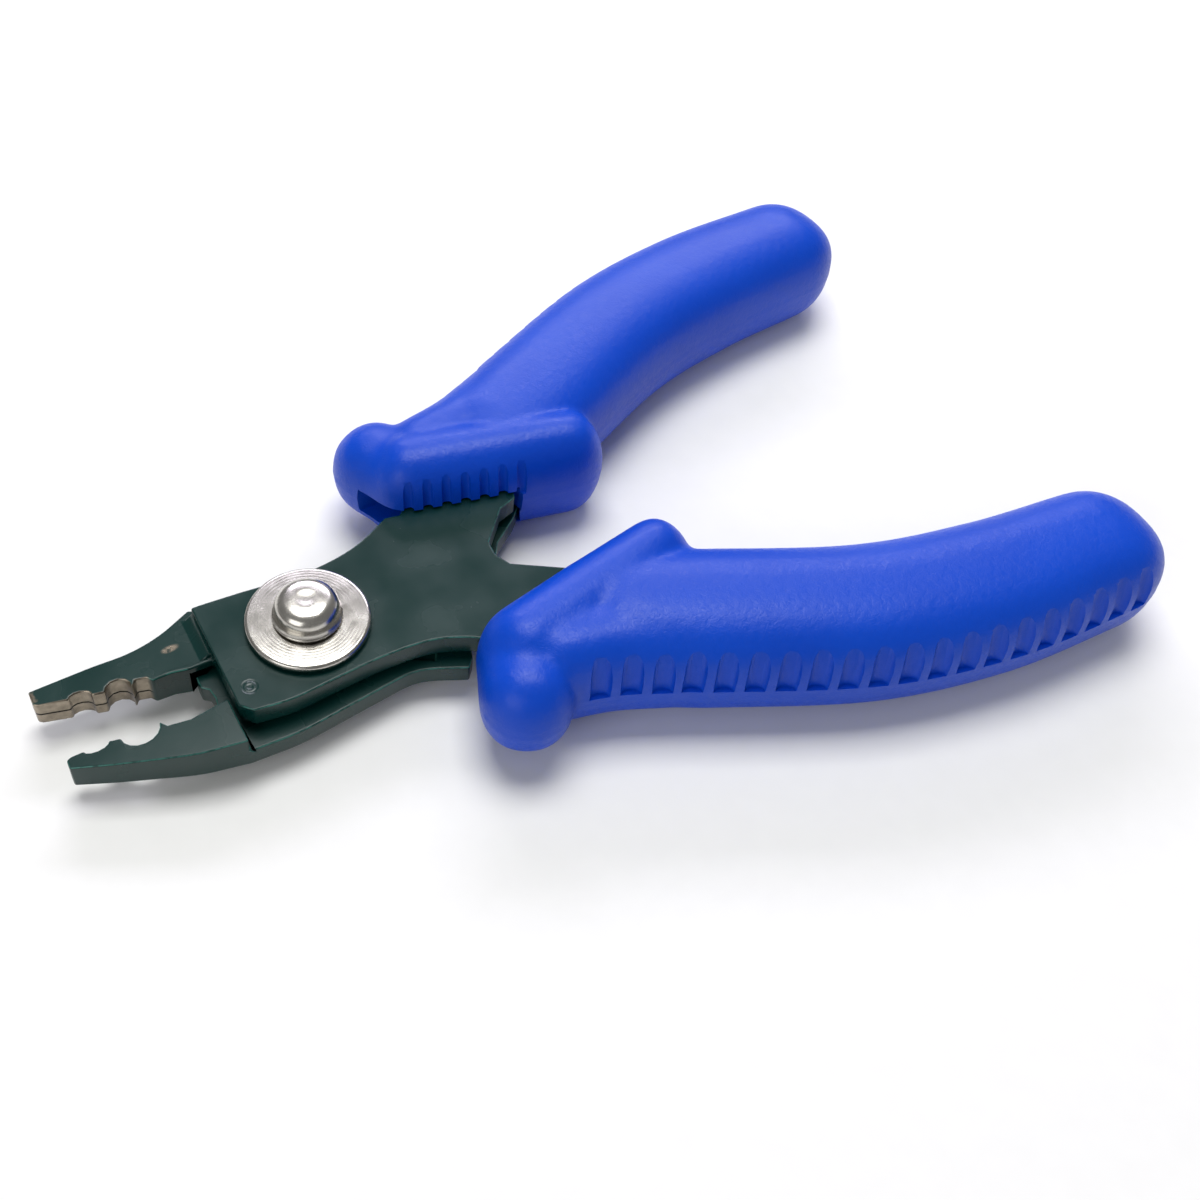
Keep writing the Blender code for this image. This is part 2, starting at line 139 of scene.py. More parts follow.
def roundMark(tree, place, centre, stretch, radius, soft):
    # distance from a mark's centre in plan, and its mask: 1 inside, 0 outside
    away = addNode(tree, "ShaderNodeVectorMath",
                   {"operation": "SUBTRACT", 0: place, 1: (*centre, 0.0)}).outputs["Vector"]
    flat = addNode(tree, "ShaderNodeVectorMath",
                   {"operation": "MULTIPLY", 0: away, 1: stretch}).outputs["Vector"]
    far = addNode(tree, "ShaderNodeVectorMath", {"operation": "LENGTH", 0: flat}).outputs["Value"]
    inside = addNode(tree, "ShaderNodeMapRange", {
        **softStep, "Value": far, "From Min": radius + soft, "From Max": radius - soft}).outputs[0]
    return far, inside


def edgeHighlightAndWear(tree, up, speck, alongX, upper):
    # the small stamped radius, coloured lighter: a painted highlight along the edges, broken into
    # specks where the paint is thin and wears through
    leavesWall = addNode(tree, "ShaderNodeMapRange", {
        **softStep, "Value": up, "From Min": 0.2, "From Max": 0.6}).outputs[0]
    leavesFlat = addNode(tree, "ShaderNodeMapRange", {
        **softStep, "Value": up, "From Min": 0.97, "From Max": 0.8}).outputs[0]
    radius = addNode(tree, "ShaderNodeMath",
                     {"operation": "MULTIPLY", 0: leavesWall, 1: leavesFlat}).outputs[0]
    speckled = addNode(tree, "ShaderNodeMapRange", {
        **softStep, "Value": speck, "From Min": 0.35, "From Max": 0.6,
        "To Min": 0.15, "To Max": 0.75}).outputs[0]
    edge = addNode(tree, "ShaderNodeMath", {"operation": "MULTIPLY", 0: radius, 1: speckled}).outputs[0]
    if not upper:
        return edge
    # the forged fillet behind the far jaw is fully painted, so the painted edge highlight is left
    # off it
    low, high = enamel["rootFillet"]
    before = addNode(tree, "ShaderNodeMapRange", {
        **softStep, "Value": alongX, "From Min": low, "From Max": low - 0.3}).outputs[0]
    beyond = addNode(tree, "ShaderNodeMapRange", {
        **softStep, "Value": alongX, "From Min": high, "From Max": high + 0.3}).outputs[0]
    away = addNode(tree, "ShaderNodeMath",
                   {"operation": "MAXIMUM", 0: before, 1: beyond}).outputs[0]
    return addNode(tree, "ShaderNodeMath", {"operation": "MULTIPLY", 0: edge, 1: away}).outputs[0]


def bareSteel(tree, place, facing, up, speck):
    # mask of the ground working face, the worn tip and the rubbed spot
    across = addNode(tree, "ShaderNodeVectorMath", {
        "operation": "DOT_PRODUCT", 0: facing, 1: enamel["groundFacing"]}).outputs["Value"]
    alongX = addNode(tree, "ShaderNodeSeparateXYZ", {0: place}).outputs["X"]
    turned = addNode(tree, "ShaderNodeMapRange", {
        **softStep, "Value": across, "From Min": 0.2, "From Max": 0.5}).outputs[0]
    start, end = enamel["groundEnd"]
    along = addNode(tree, "ShaderNodeMapRange", {
        **softStep, "Value": alongX, "From Min": start, "From Max": end}).outputs[0]
    ground = addNode(tree, "ShaderNodeMath",
                     {"operation": "MULTIPLY", 0: turned, 1: along}).outputs[0]
    ragged = addNode(tree, "ShaderNodeMath", {"operation": "MULTIPLY", 0: speck, 1: 1.4}).outputs[0]
    frayed = addNode(tree, "ShaderNodeMath", {"operation": "ADD", 0: alongX, 1: ragged}).outputs[0]
    start, end = enamel["tipEnd"]
    tip = addNode(tree, "ShaderNodeMapRange", {
        **softStep, "Value": frayed, "From Min": start, "From Max": end}).outputs[0]
    inside = roundMark(tree, place, enamel["spot"], enamel["spotStretch"],
                       enamel["spotRadius"], 0.25)[1]
    onTop = addNode(tree, "ShaderNodeMapRange", {
        **softStep, "Value": up, "From Min": 0.8, "From Max": 0.95}).outputs[0]
    spot = addNode(tree, "ShaderNodeMath",
                   {"operation": "MULTIPLY", 0: inside, 1: onTop}).outputs[0]
    patchy = addNode(tree, "ShaderNodeMapRange", {
        **softStep, "Value": speck, "From Min": 0.38, "From Max": 0.52}).outputs[0]
    spot = addNode(tree, "ShaderNodeMath", {"operation": "MULTIPLY", 0: spot, 1: patchy}).outputs[0]
    bare = addNode(tree, "ShaderNodeMath", {"operation": "MAXIMUM", 0: ground, 1: tip}).outputs[0]
    return addNode(tree, "ShaderNodeMath", {"operation": "MAXIMUM", 0: bare, 1: spot}).outputs[0]


def groundTone(tree, place, speck):
    # grey-brown ground steel, with the thin joint line along its middle
    steel = addNode(tree, "ShaderNodeMix", {
        "data_type": "RGBA", "Factor": speck, "A": hexColour(enamel["steelDark"]),
        "B": hexColour(enamel["steelPale"])}).outputs["Result"]
    height = addNode(tree, "ShaderNodeSeparateXYZ", {0: place}).outputs["Z"]
    off = addNode(tree, "ShaderNodeMath",
                  {"operation": "SUBTRACT", 0: height, 1: enamel["seamHeight"]}).outputs[0]
    off = addNode(tree, "ShaderNodeMath", {"operation": "ABSOLUTE", 0: off}).outputs[0]
    seam = addNode(tree, "ShaderNodeMapRange", {
        **softStep, "Value": off, "From Min": 0.14, "From Max": 0.09}).outputs[0]
    return addNode(tree, "ShaderNodeMix", {
        "data_type": "RGBA", "Factor": seam, "A": steel,
        "B": hexColour(enamel["seamDark"])}).outputs["Result"]


def pinMark(tree, place, up):
    # plain round mark that the ejector pin leaves: a ring with a dot
    far, dot = roundMark(tree, place, enamel["ring"], (1.0, 1.0, 0.0), enamel["ringDot"], 0.1)
    off = addNode(tree, "ShaderNodeMath",
                  {"operation": "SUBTRACT", 0: far, 1: enamel["ringRadius"]}).outputs[0]
    off = addNode(tree, "ShaderNodeMath", {"operation": "ABSOLUTE", 0: off}).outputs[0]
    ring = addNode(tree, "ShaderNodeMapRange", {
        **softStep, "Value": off, "From Min": 0.2, "From Max": 0.04}).outputs[0]
    mark = addNode(tree, "ShaderNodeMath", {"operation": "MAXIMUM", 0: ring, 1: dot}).outputs[0]
    onTop = addNode(tree, "ShaderNodeMapRange", {
        **softStep, "Value": up, "From Min": 0.9, "From Max": 0.98}).outputs[0]
    return addNode(tree, "ShaderNodeMath", {"operation": "MULTIPLY", 0: mark, 1: onTop}).outputs[0]


def makeEnamel(name, upper):
    material, tree, shader = newMaterial(name)
    place = localPlace(tree)
    alongX = addNode(tree, "ShaderNodeSeparateXYZ", {0: place}).outputs["X"]
    facing = addNode(tree, "ShaderNodeTexCoord", {}).outputs["Normal"]
    upright = addNode(tree, "ShaderNodeSeparateXYZ", {0: facing}).outputs["Z"]
    up = addNode(tree, "ShaderNodeMath", {"operation": "ABSOLUTE", 0: upright}).outputs[0]
    cloud = addNode(tree, "ShaderNodeTexNoise", {
        "Vector": place, "Scale": 1 / enamel["cloudMm"], "Detail": 3.0}).outputs["Fac"]
    speck = addNode(tree, "ShaderNodeTexNoise", {
        "Vector": place, "Scale": 1 / enamel["speckMm"], "Detail": 6.0}).outputs["Fac"]
    colour = addNode(tree, "ShaderNodeMix", {
        "data_type": "RGBA", "Factor": cloud, "A": hexColour(enamel["deep"]),
        "B": hexColour(enamel["body"])}).outputs["Result"]
    # the rounded edges turn a lighter teal: a painted edge highlight, partly worn paint
    edge = edgeHighlightAndWear(tree, up, speck, alongX, upper)
    colour = addNode(tree, "ShaderNodeMix", {
        "data_type": "RGBA", "Factor": edge, "A": colour,
        "B": hexColour(enamel["edge"])}).outputs["Result"]
    peel = addNode(tree, "ShaderNodeTexNoise", {
        "Vector": place, "Scale": 1 / enamel["peelMm"], "Detail": 2.0}).outputs["Fac"]
    dust = addNode(tree, "ShaderNodeTexNoise", {
        "Vector": place, "Scale": 1 / enamel["dustMm"], "Detail": 3.0}).outputs["Fac"]
    peel = addNode(tree, "ShaderNodeMath", {"operation": "MULTIPLY", 0: peel, 1: 0.7}).outputs[0]
    dust = addNode(tree, "ShaderNodeMath", {"operation": "MULTIPLY", 0: dust, 1: 0.25}).outputs[0]
    relief = addNode(tree, "ShaderNodeMath", {"operation": "ADD", 0: peel, 1: dust}).outputs[0]
    if upper:
        bare = bareSteel(tree, place, facing, up, speck)
        colour = addNode(tree, "ShaderNodeMix", {
            "data_type": "RGBA", "Factor": bare, "A": colour,
            "B": groundTone(tree, place, speck)}).outputs["Result"]
        tree.links.new(bare, shader.inputs["Metallic"])
        sunk = addNode(tree, "ShaderNodeMath",
                       {"operation": "MULTIPLY", 0: pinMark(tree, place, up), 1: 2.2}).outputs[0]
        relief = addNode(tree, "ShaderNodeMath",
                         {"operation": "SUBTRACT", 0: relief, 1: sunk}).outputs[0]
    tree.links.new(colour, shader.inputs["Base Color"])
    gloss = addNode(tree, "ShaderNodeMapRange", {
        **softStep, "Value": cloud, "From Min": 0.2, "From Max": 0.8,
        "To Min": 0.2, "To Max": 0.32})
    tree.links.new(gloss.outputs["Result"], shader.inputs["Roughness"])
    shader.inputs["IOR"].default_value = 1.5
    shader.inputs["Specular IOR Level"].default_value = 0.4
    bump = addNode(tree, "ShaderNodeBump", {
        "Strength": 0.5, "Distance": enamel["reliefMm"] * mm, "Height": relief})
    tree.links.new(bump.outputs["Normal"], shader.inputs["Normal"])
    return material


# Injection-moulded polypropylene with a spark-eroded grain, which scatters the highlights
plastic = {"body": "#004ACC", "shade": "#0040BC", "flowMm": 12.0, "grainMm": 0.5, "pitMm": 0.8,
           "reliefMm": 0.06}


def makePlastic(name):
    material, tree, shader = newMaterial(name)
    place = localPlace(tree)
    flow = addNode(tree, "ShaderNodeTexNoise", {
        "Vector": place, "Scale": 1 / plastic["flowMm"], "Detail": 2.0}).outputs["Fac"]
    tone = addNode(tree, "ShaderNodeMix", {
        "data_type": "RGBA", "Factor": flow, "A": hexColour(plastic["shade"]),
        "B": hexColour(plastic["body"])})
    tree.links.new(tone.outputs["Result"], shader.inputs["Base Color"])
    grain = addNode(tree, "ShaderNodeTexNoise", {
        "Vector": place, "Scale": 1 / plastic["grainMm"], "Detail": 3.0,
        "Distortion": 1.5}).outputs["Fac"]
    pits = addNode(tree, "ShaderNodeTexVoronoi", {
        "feature": "SMOOTH_F1", "Vector": place, "Scale": 1 / plastic["pitMm"]}).outputs["Distance"]
    gloss = addNode(tree, "ShaderNodeMapRange", {
        **softStep, "Value": grain, "From Min": 0.3, "From Max": 0.7,
        "To Min": 0.33, "To Max": 0.45})
    tree.links.new(gloss.outputs["Result"], shader.inputs["Roughness"])
    shader.inputs["IOR"].default_value = 1.49
    shader.inputs["Specular IOR Level"].default_value = 0.3
    pits = addNode(tree, "ShaderNodeMath", {"operation": "MULTIPLY", 0: pits, 1: 0.8}).outputs[0]
    relief = addNode(tree, "ShaderNodeMath", {"operation": "ADD", 0: grain, 1: pits}).outputs[0]
    bump = addNode(tree, "ShaderNodeBump", {
        "Strength": 0.55, "Distance": plastic["reliefMm"] * mm, "Height": relief})
    tree.links.new(bump.outputs["Normal"], shader.inputs["Normal"])
    return material


# Nickel-plated turned steel: bright, with fine turning rings about the rivet's axis.
# The rings are drawn coarser than a real tool mark, which would be too fine to show.
nickel = {"haze": "#B4B0A8", "washer": "#CFCCC6", "rivet": "#DAD7D0", "washerRingMm": 0.35,
          "rivetRingMm": 0.5, "hazeMm": 1.4, "reliefMm": 0.02}


def makeNickel(name, ringMm, tint):
    material, tree, shader = newMaterial(name)
    place = addNode(tree, "ShaderNodeTexCoord", {}).outputs["Object"]
    centred = addNode(tree, "ShaderNodeMapping", {
        "vector_type": "POINT", "Vector": place, "Location": (-pivot.x, -pivot.y, 0.0)})
    rings = addNode(tree, "ShaderNodeTexWave", {
        "wave_type": "RINGS", "rings_direction": "Z", "Vector": centred.outputs["Vector"],
        "Scale": 2 / (ringMm * mm) / math.tau, "Distortion": 0.6, "Detail": 2.0})
    haze = addNode(tree, "ShaderNodeTexNoise", {
        "Vector": place, "Scale": 1 / (nickel["hazeMm"] * mm), "Detail": 4.0}).outputs["Fac"]
    tone = addNode(tree, "ShaderNodeMix", {
        "data_type": "RGBA", "Factor": haze, "A": hexColour(nickel["haze"]),
        "B": hexColour(tint)})
    tree.links.new(tone.outputs["Result"], shader.inputs["Base Color"])
    shader.inputs["Metallic"].default_value = 1.0
    rough = addNode(tree, "ShaderNodeMapRange", {"Value": haze, "To Min": 0.16, "To Max": 0.34})
    tree.links.new(rough.outputs["Result"], shader.inputs["Roughness"])
    bump = addNode(tree, "ShaderNodeBump", {
        "Strength": 0.12, "Distance": nickel["reliefMm"] * mm, "Height": rings.outputs["Fac"]})
    tree.links.new(bump.outputs["Normal"], shader.inputs["Normal"])
    return material


# Drawn and oiled spring wire: dark grey, faintly streaked
wire = {"dark": "#5E5E60", "pale": "#8B8B8D", "streakMm": 0.6, "reliefMm": 0.02}


def makeSpringWire(name):
    material, tree, shader = newMaterial(name)
    place = addNode(tree, "ShaderNodeTexCoord", {}).outputs["Object"]
    streak = addNode(tree, "ShaderNodeTexNoise", {
        "Vector": place, "Scale": 1 / (wire["streakMm"] * mm), "Detail": 4.0}).outputs["Fac"]
    tone = addNode(tree, "ShaderNodeMix", {
        "data_type": "RGBA", "Factor": streak, "A": hexColour(wire["dark"]),
        "B": hexColour(wire["pale"])})
    tree.links.new(tone.outputs["Result"], shader.inputs["Base Color"])
    shader.inputs["Metallic"].default_value = 1.0
    shader.inputs["Roughness"].default_value = 0.32
    bump = addNode(tree, "ShaderNodeBump", {
        "Strength": 0.2, "Distance": wire["reliefMm"] * mm, "Height": streak})
    tree.links.new(bump.outputs["Normal"], shader.inputs["Normal"])
    return material


upperEnamel = makeEnamel("stovedGreenEnamelUpper", True)
lowerEnamel = makeEnamel("stovedGreenEnamelLower", False)
bluePolypropylene = makePlastic("bluePolypropylene")
nickelWasher = makeNickel("nickelPlatedWasher", nickel["washerRingMm"], nickel["washer"])
nickelRivet = makeNickel("nickelPlatedRivet", nickel["rivetRingMm"], nickel["rivet"])
springWire = makeSpringWire("drawnSpringWire")
print("materials made")


# the stamped halves: merging and flattening sizes, then the edge's small radius
steelHalf = {"edgeRadius": 0.2, "edgeSteps": 3, "mergeMm": 0.02, "tinyMm": 0.005,
             "flatDegrees": 1.5, "sharpDegrees": 48}


def edgedCopy(node, name, material):
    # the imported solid, merged and given the stamped edge's small radius
    bm = bmesh.new()
    bm.from_mesh(nodes[node].data)
    bmesh.ops.remove_doubles(bm, verts=bm.verts, dist=steelHalf["mergeMm"] * mm)
    bmesh.ops.dissolve_degenerate(bm, edges=bm.edges, dist=steelHalf["tinyMm"] * mm)
    bmesh.ops.dissolve_limit(bm, angle_limit=math.radians(steelHalf["flatDegrees"]),
                             verts=bm.verts, edges=bm.edges)
    limit = math.radians(steelHalf["sharpDegrees"])
    sharp = [e for e in bm.edges if e.is_manifold and e.calc_face_angle() > limit]
    bmesh.ops.bevel(bm, geom=sharp, affect="EDGES", offset=steelHalf["edgeRadius"] * mm,
                    segments=steelHalf["edgeSteps"], profile=0.5, material=-1,
                    clamp_overlap=False)
    piece = meshObject(name, bm, material, 40)
    flats = piece.modifiers.new("flats", "WEIGHTED_NORMAL")
    flats.keep_sharp = True
    flats.weight = 100
    return applyModifiers(piece)


upperHalf = edgedCopy("upper_half", "upperHalfFinished", upperEnamel)
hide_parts("upper_half")
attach(upperHalf, "upper_body")
lowerHalf = edgedCopy("lower_half", "lowerHalfFinished", lowerEnamel)
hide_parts("lower_half")
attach(lowerHalf, "lower_body")
print("steel halves dressed")


# turned head on top, plain shank, spread tail underneath
rivet = {"footRadius": 3.6, "topRadius": 3.35, "low": 9.3, "high": 12.1, "dimple": 0.9,
         "crown": 1.5, "shankRadius": 2.5, "tailRadius": 3.5, "tailLow": 0.15, "tailHigh": 0.9,
         "steps": 96}


def spinProfile(name, profile, material, steps, smoothAngle=35):
    # profile of (radius, height), spun about the rivet's axis
    bm = bmesh.new()
    points = [bm.verts.new(toWorld(r, 0.0, z)) for r, z in profile]
    edges = [bm.edges.new(pair) for pair in zip(points, points[1:])]
    if profile[0][0] > 0:
        edges.append(bm.edges.new((points[-1], points[0])))
    bmesh.ops.spin(bm, geom=points + edges, cent=pivot, axis=(0, 0, 1), angle=math.tau,
                   steps=steps, use_merge=True)
    bmesh.ops.remove_doubles(bm, verts=bm.verts, dist=0.000001)
    bmesh.ops.recalc_face_normals(bm, faces=bm.faces)
    return meshObject(name, bm, material, smoothAngle)


def roundedCorner(centreR, centreZ, radius, start, end, steps=5):
    # points of a small fillet in a turned profile, angles in degrees
    turn = [math.radians(start + (end - start) * i / steps) for i in range(steps + 1)]
    return [(centreR + radius * math.cos(a), centreZ + radius * math.sin(a)) for a in turn]


def rivetProfile():
    top = rivet["high"]
    # dome with the shallow mark of the forming tool in its middle
    profile = [(0.0, top - 0.1), (rivet["dimple"] * 0.5, top - 0.09),
               (rivet["dimple"], top - 0.02), (rivet["dimple"] + 0.3, top),
               (rivet["dimple"] + 0.85, top - 0.05)]
    profile += roundedCorner(rivet["topRadius"] - rivet["crown"], top - rivet["crown"] - 0.1,
                             rivet["crown"], 78, 0, 12)
    profile += [(rivet["topRadius"] + 0.03, rivet["low"] + 0.85),
                (rivet["topRadius"] + 0.12, rivet["low"] + 0.6),
                (rivet["footRadius"] - 0.03, rivet["low"] + 0.42)]
    profile += roundedCorner(rivet["footRadius"] - 0.12, rivet["low"] + 0.15, 0.15, 60, -80, 4)
    profile += [(rivet["shankRadius"], rivet["low"]), (rivet["shankRadius"], rivet["tailHigh"]),
                (rivet["tailRadius"] - 0.2, rivet["tailHigh"])]
    profile += roundedCorner(rivet["tailRadius"] - 0.3, rivet["tailLow"] + 0.4, 0.3, 60, -90, 5)
    return profile + [(1.4, rivet["tailLow"]), (1.1, rivet["tailLow"] + 0.1),
                      (0.0, rivet["tailLow"] + 0.15)]


def washerProfile(inner, outer, low, high, bevel):
    # the outer corners carry a wide soft chamfer, the bore a small one
    section = [(inner, high - 0.08), (inner + 0.08, high)]
    section += roundedCorner(outer - bevel, high - bevel, bevel, 90, 12, 6)
    section += roundedCorner(outer - bevel * 0.6, low + bevel * 0.6, bevel * 0.6, -6, -90, 5)
    return section + [(inner + 0.08, low), (inner, low + 0.08)]


headAndShank = spinProfile("rivetTurned", rivetProfile(), nickelRivet, rivet["steps"])
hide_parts("pivot_rivet")
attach(headAndShank, "lower_body")

# inner and outer radius, low and high face, rim bevel
washers = {"top_washer": (2.8, 6.5, 8.2, 9.0, 0.42), "bottom_washer": (2.8, 5.2, 1.2, 2.0, 0.25),
           "spacer_washer": (2.8, 4.1, 4.9, 5.1, 0.06)}
for node, (inner, outer, low, high, bevel) in washers.items():
    washer = spinProfile(node.split("_")[0] + "WasherTurned",
                         washerProfile(inner, outer, low, high, bevel), nickelWasher,
                         rivet["steps"])
    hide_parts(node)
    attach(washer, "lower_body")
nodes["return_spring"].data.materials.clear()
nodes["return_spring"].data.materials.append(springWire)
print("rivet and washers turned")


# the far grip, in plan from the rivet; the near grip is its mirror image
grip = {
    "line": [(29.5, 14.5), (36.1, 17.5), (51.5, 24.3), (65.0, 27.3), (78.5, 28.3)],
    "halfWidths": [7.3, 8.05, 7.95, 7.75, 7.15],
    "mid": 6.8, "halfHeight": 6.85, "roundness": 2.6,
    "guardLine": [(17.8, 13.2), (26.5, 11.2), (35.9, 8.8)],
    "guardHalfWidths": [4.75, 4.65, 3.95], "guardRoundness": 2.3,
    "lobeLine": [(15.8, 17.6), (17.6, 13.8)], "lobeHalfWidths": [4.75, 4.75],
    "lobeHalfHeight": 5.5,
    "shoulderLine": [(20.5, 15.6), (26.0, 16.4), (31.5, 18.0)],
    "shoulderHalfWidths": [4.4, 5.0, 5.7],
    "voxel": 0.34, "blendSteps": 34, "sideFrom": 12, "sideSteps": 100, "endDegrees": 60,
    "partingWidth": 0.2, "partingRise": 0.06,
}
# thumb flutes down the outer side, and finger ribs over the far grip's slot
flute = {"first": (22.4, 20.6), "pitch": 3.1, "count": 20, "depth": 0.6, "width": 2.3,
         "corner": 1.0, "reach": 3.0, "tall": 6.0, "lean": 9.5}
rib = {"first": (15.9, 8.85), "last": (28.4, 6.0), "count": 7, "depth": 0.45, "width": 1.15,
       "corner": 0.45, "low": 7.6, "tall": 5.0, "reach": 2.0, "lean": 9.0}


def splinePoint(points, position):
    # cardinal spline through plan points, position counted in spans
    i = min(int(position), len(points) - 2)
    t = position - i
    a = Vector(points[i])
    b = Vector(points[i + 1])
    before = Vector(points[i - 1]) if i > 0 else a * 2 - b
    beyond = Vector(points[i + 2]) if i + 2 < len(points) else b * 2 - a
    start = (b - before) / 2
    end = (beyond - a) / 2
    return ((2 * t ** 3 - 3 * t ** 2 + 1) * a + (t ** 3 - 2 * t ** 2 + t) * start
            + (3 * t ** 2 - 2 * t ** 3) * b + (t ** 3 - t ** 2) * end)


def addPill(bm, line, halfWidths, halfHeight, roundness, sides=56, spanSteps=10, endSteps=9):
    # a ring of the section's shape, extruded station by station along the line
    spans = len(line) - 1
    stations = []
    for i in range(endSteps):
        angle = math.pi / 2 * (i + 0.35) / endSteps
        stations.append((0.0, -math.cos(angle), math.sin(angle)))
    for i in range(spans * spanSteps + 1):
        stations.append((i / spanSteps, 0.0, 1.0))
    for i in range(endSteps - 1, -1, -1):
        angle = math.pi / 2 * (i + 0.35) / endSteps
        stations.append((float(spans), math.cos(angle), math.sin(angle)))
    ring = bmesh.ops.create_circle(bm, segments=sides, radius=1.0, cap_ends=True)["verts"]
    section = []
    for vertex in ring:
        c = math.copysign(abs(vertex.co.x) ** (2 / roundness), vertex.co.x)
        s = math.copysign(abs(vertex.co.y) ** (2 / roundness), vertex.co.y)
        section.append((c, s))
    edges = list(dict.fromkeys(e for v in ring for e in v.link_edges))
    for number, (position, reach, scale) in enumerate(stations):
        if number > 0:
            grown = bmesh.ops.extrude_edge_only(bm, edges=edges)["geom"]
            edges = [g for g in grown if isinstance(g, bmesh.types.BMEdge)]
            fresh = {g for g in grown if isinstance(g, bmesh.types.BMVert)}
            ring = [next(e.other_vert(v) for e in v.link_edges if e.other_vert(v) in fresh)
                    for v in ring]
        here = splinePoint(line, position)
        ahead = splinePoint(line, min(position + 0.02, spans))
        behind = splinePoint(line, max(position - 0.02, 0.0))
        heading = (ahead - behind).normalized()
        span = min(int(position), spans - 1)
        width = halfWidths[span] + (halfWidths[span + 1] - halfWidths[span]) * (position - span)
        across = Vector((-heading.y, heading.x))
        for vertex, (c, s) in zip(ring, section):
            plan = here + heading * reach * width + across * (width * scale * c)
            vertex.co = toWorld(plan.x, plan.y, grip["mid"] + halfHeight * scale * s)
    bmesh.ops.contextual_create(bm, geom=edges)


def moulding(name):
    bm = bmesh.new()
    addPill(bm, grip["line"], grip["halfWidths"], grip["halfHeight"], grip["roundness"])
    addPill(bm, grip["guardLine"], grip["guardHalfWidths"], grip["halfHeight"],
            grip["guardRoundness"])
    addPill(bm, grip["lobeLine"], grip["lobeHalfWidths"], grip["lobeHalfHeight"],
            grip["guardRoundness"])
    addPill(bm, grip["shoulderLine"], grip["shoulderHalfWidths"], grip["halfHeight"] - 0.5,
            grip["guardRoundness"])
    bmesh.ops.recalc_face_normals(bm, faces=bm.faces)
    piece = meshObject(name, bm, bluePolypropylene)
    remesh = piece.modifiers.new("skin", "REMESH")
    remesh.mode = "VOXEL"
    remesh.voxel_size = grip["voxel"] * mm
    blend = piece.modifiers.new("blend", "SMOOTH")
    blend.factor = 0.5
    blend.iterations = grip["blendSteps"]
    return applyModifiers(piece)


def outerSide():
    # the handle's outer side in plan, and round its end
    spans = len(grip["line"]) - 1
    side = [Vector(flute["first"])]
    for i in range(grip["sideFrom"], grip["sideSteps"] + 1):
        position = spans * i / grip["sideSteps"]
        here = splinePoint(grip["line"], position)
        ahead = splinePoint(grip["line"], min(position + 0.02, spans))
        heading = (ahead - splinePoint(grip["line"], position - 0.02)).normalized()
        k = min(int(position), spans - 1)
        widths = grip["halfWidths"]
        width = widths[k] + (widths[k + 1] - widths[k]) * (position - k)
        side.append(here + Vector((-heading.y, heading.x)) * width)
    centre = Vector(grip["line"][-1])
    arm = side[-1] - centre
    for i in range(1, 20):
        turn = Matrix.Rotation(-math.radians(grip["endDegrees"]) * i / 20, 2)
        side.append(centre + turn @ arm)
    return side


def notchCutter(bm, skin, place, heading, notch, low):
    # slot cutter set on the moulding's skin, leaning in, rounded on its inner edges
    outwards = Vector((-heading.y, heading.x, 0.0))
    start = toWorld(place.x, place.y, low + 0.3) + outwards * 5 * mm
    landed = skin.ray_cast(start, -outwards)[0]
    if landed is None:
        return
    depth, width, reach, tall = (notch[k] for k in ("depth", "width", "reach", "tall"))
    made = bmesh.ops.create_cube(bm, size=1.0)["verts"]
    bmesh.ops.scale(bm, vec=(width * mm, (reach + depth) * mm, tall * mm), verts=made)
    bmesh.ops.translate(bm, vec=(0, (reach - depth) / 2 * mm, tall / 2 * mm), verts=made)
    inner = [e for v in made for e in v.link_edges
             if all(w.co.y < 0 for w in e.verts) and abs(e.verts[0].co.z - e.verts[1].co.z) > mm]
    rounded = bmesh.ops.bevel(bm, geom=list(dict.fromkeys(inner)), affect="EDGES",
                              offset=notch["corner"] * mm, segments=5, profile=0.5,
                              material=-1, clamp_overlap=False)
    made = list(dict.fromkeys(v for v in made + rounded["verts"] if v.is_valid))
    turn = (Matrix.Rotation(math.atan2(heading.y, heading.x), 3, "Z")
            @ Matrix.Rotation(math.radians(notch["lean"]), 3, "X"))
    bmesh.ops.rotate(bm, cent=(0, 0, 0), matrix=turn, verts=made)
    bmesh.ops.translate(bm, vec=(landed.x, landed.y, low * mm), verts=made)


def skinOf(piece):
    bm = bmesh.new()
    bm.from_mesh(piece.data)
    skin = BVHTree.FromBMesh(bm)
    bm.free()
    return skin


def fluteCutters(skin):
    bm = bmesh.new()
    side = outerSide()
    wanted = 0.0
    travelled = 0.0
    placed = 0
    for before, after in zip(side, side[1:]):
        step = (after - before).length
        while travelled + step >= wanted and placed < flute["count"]:
            spot = before.lerp(after, (wanted - travelled) / step)
            notchCutter(bm, skin, spot, (after - before).normalized(), flute, grip["mid"])
            placed += 1
            wanted += flute["pitch"]
        travelled += step
    print("flutes", placed)
    return meshObject("fluteCutters", bm, bluePolypropylene)


def ribCutters(skin):
    bm = bmesh.new()
    first = Vector(rib["first"])
    last = Vector(rib["last"])
    for i in range(rib["count"]):
        notchCutter(bm, skin, first.lerp(last, i / (rib["count"] - 1)),
                    (first - last).normalized(), rib, rib["low"])
    return meshObject("ribCutters", bm, bluePolypropylene)


def partingLine(piece):
    # the mould's two halves meet in a faint raised line at mid height
    for vertex in piece.data.vertices:
        height = vertex.co.z / mm - grip["mid"]
        if abs(height) < grip["partingWidth"] * 3:
            line = math.exp(-(height / grip["partingWidth"]) ** 2)
            outwards = Vector((vertex.normal.x, vertex.normal.y, 0.0))
            vertex.co += outwards * line * grip["partingRise"] * mm
    return piece


